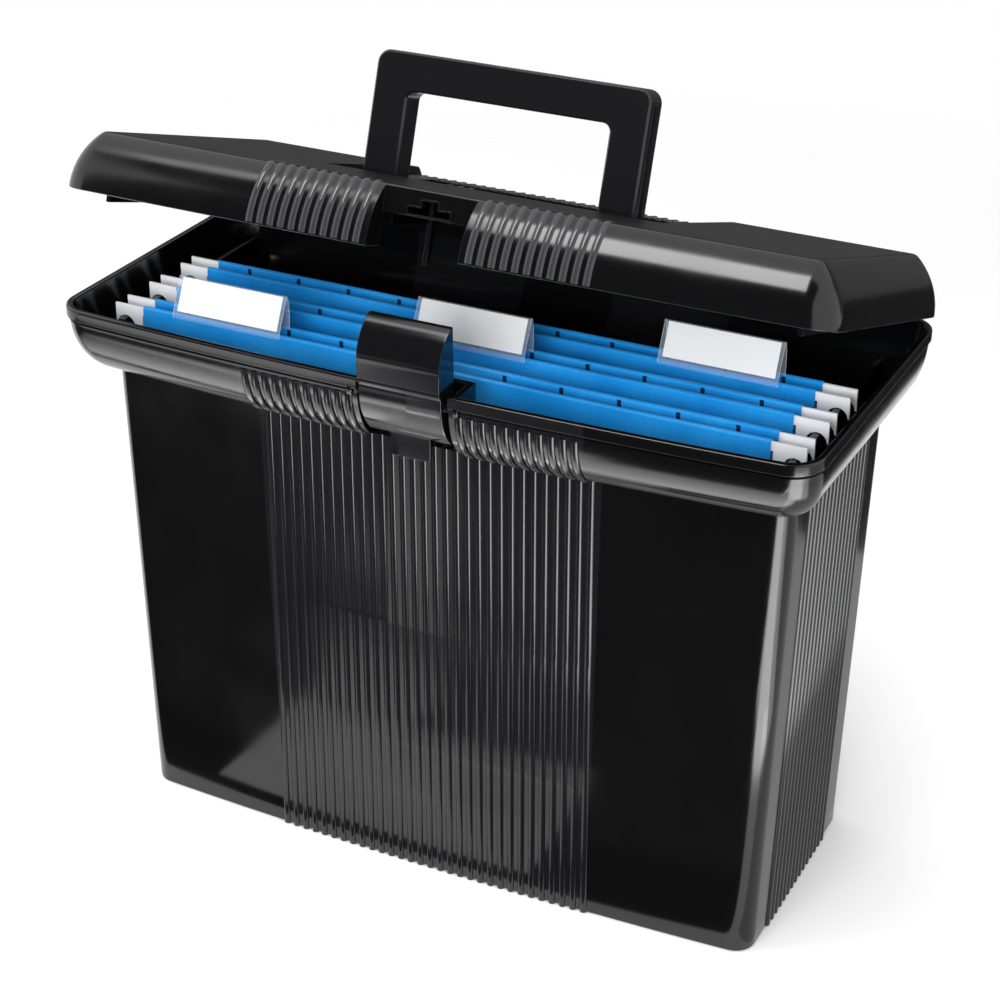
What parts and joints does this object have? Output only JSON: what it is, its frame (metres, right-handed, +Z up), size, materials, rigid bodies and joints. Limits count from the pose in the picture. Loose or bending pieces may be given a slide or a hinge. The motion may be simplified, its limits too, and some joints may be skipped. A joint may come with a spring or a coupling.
{
  "type": "portable file box",
  "caption": "Portable file box with a flared ribbed tub, hinged lid with a fold-down carry handle, rocking front latch and hanging folders with tabs.",
  "frame": {"origin": "middle of the tub's underside, on the face that it stands on", "axes": "+Z up, front with the latch towards -Y, width along X"},
  "size_m": [0.35, 0.1793, 0.3563],
  "materials": {
    "tub_plastic": "moulded, glossy black",
    "lid_plastic": "moulded, glossy black",
    "handle_plastic": "moulded, glossy black",
    "latch_plastic": "moulded, glossy black",
    "pin_steel": "plain drawn steel",
    "folder_card": "coated card, bright blue",
    "rod_metal": "coated steel strip, light grey",
    "clear_plastic": "clear film",
    "label_paper": "plain white"
  },
  "bodies": {
    "box": {"box_body": "tub_plastic", "lid_hinge_pins": "pin_steel"},
    "lid": {"lid": "lid_plastic", "handle_pins": "pin_steel"},
    "handle": {"handle": "handle_plastic"},
    "latch": {"latch": "latch_plastic"},
    "folder_front": {"folder_1_sheet": "folder_card", "folder_1_front_rod": "rod_metal", "folder_1_rear_rod": "rod_metal", "folder_1_tab": "clear_plastic", "folder_1_label": "label_paper"},
    "folder_middle": {"folder_2_sheet": "folder_card", "folder_2_front_rod": "rod_metal", "folder_2_rear_rod": "rod_metal", "folder_2_tab": "clear_plastic", "folder_2_label": "label_paper"},
    "folder_rear": {"folder_3_sheet": "folder_card", "folder_3_front_rod": "rod_metal", "folder_3_rear_rod": "rod_metal", "folder_3_tab": "clear_plastic", "folder_3_label": "label_paper"}
  },
  "joints": [
    {"name": "lid_hinge", "type": "hinge", "parent": "box", "child": "lid", "pos_m": [0, 0.0852, 0.25], "axis": [-1, 0, 0], "range_deg": [-18.5, 86]},
    {"name": "handle_pivot", "type": "hinge", "parent": "lid", "child": "handle", "pos_m": [0, 0.0003, 0.29375], "axis": [-1, 0, 0], "range_deg": [0, 90]},
    {"name": "latch_pivot", "type": "hinge", "parent": "box", "child": "latch", "pos_m": [0, -0.0835, 0.244], "axis": [1, 0, 0], "range_deg": [0, 16]},
    {"name": "folder_front_slide", "type": "slide", "parent": "box", "child": "folder_front", "axis": [0, 1, 0], "range_m": [-0.003, 0.0135]},
    {"name": "folder_middle_slide", "type": "slide", "parent": "box", "child": "folder_middle", "axis": [0, 1, 0], "range_m": [-0.0135, 0.0128]},
    {"name": "folder_rear_slide", "type": "slide", "parent": "box", "child": "folder_rear", "axis": [0, 1, 0], "range_m": [-0.0128, 0.044]}
  ]
}
